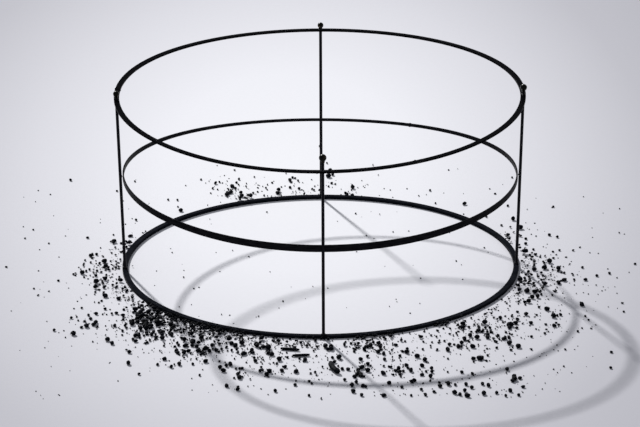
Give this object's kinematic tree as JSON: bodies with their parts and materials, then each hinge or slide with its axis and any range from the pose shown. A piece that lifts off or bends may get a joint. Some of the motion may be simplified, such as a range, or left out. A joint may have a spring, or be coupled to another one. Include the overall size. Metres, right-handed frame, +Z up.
{
  "type": "magnetic desk sculpture",
  "caption": "Open drum of thin black bands on ball-headed pins, standing among loose iron filings drawn to its magnetised base band, as a desk sculpture.",
  "frame": {"origin": "centre of the bottom band, on the desk surface", "axes": "+Z up from the desk; -Y towards the viewer; +X to the viewer's right"},
  "size_m": [0.1648, 0.1849, 0.0503],
  "materials": {
    "band_steel": "semi-gloss black lacquer on steel strip",
    "pin_steel": "satin blackened steel wire",
    "head_brass": "darkened brass with a small bright glint",
    "solder": "smooth darkened solder",
    "iron_filings": "matt black broken iron grains"
  },
  "bodies": {
    "filings": {"filings_back": "iron_filings", "filings_back_left": "iron_filings", "filings_coarse": "iron_filings", "filings_front": "iron_filings", "filings_front_left": "iron_filings", "filings_front_right": "iron_filings", "filings_left": "iron_filings", "filings_right": "iron_filings", "filings_right_front": "iron_filings", "filings_scatter": "iron_filings"},
    "frame": {"back_head": "head_brass", "back_pin": "pin_steel", "bottom_band": "band_steel", "bottom_seam": "solder", "bottom_solder_back": "solder", "bottom_solder_front": "solder", "bottom_solder_left": "solder", "bottom_solder_right": "solder", "front_head": "head_brass", "front_pin": "pin_steel", "left_head": "head_brass", "left_pin": "pin_steel", "middle_band": "band_steel", "middle_seam": "solder", "middle_solder_back": "solder", "middle_solder_front": "solder", "middle_solder_left": "solder", "middle_solder_right": "solder", "right_head": "head_brass", "right_pin": "pin_steel", "top_band": "band_steel", "top_seam": "solder", "top_solder_back": "solder", "top_solder_front": "solder", "top_solder_left": "solder", "top_solder_right": "solder"}
  },
  "joints": [
    {"name": "frame_lift", "type": "slide", "parent": "filings", "child": "frame", "axis": [0, 0, 1], "range_m": [0, 0.06]}
  ]
}
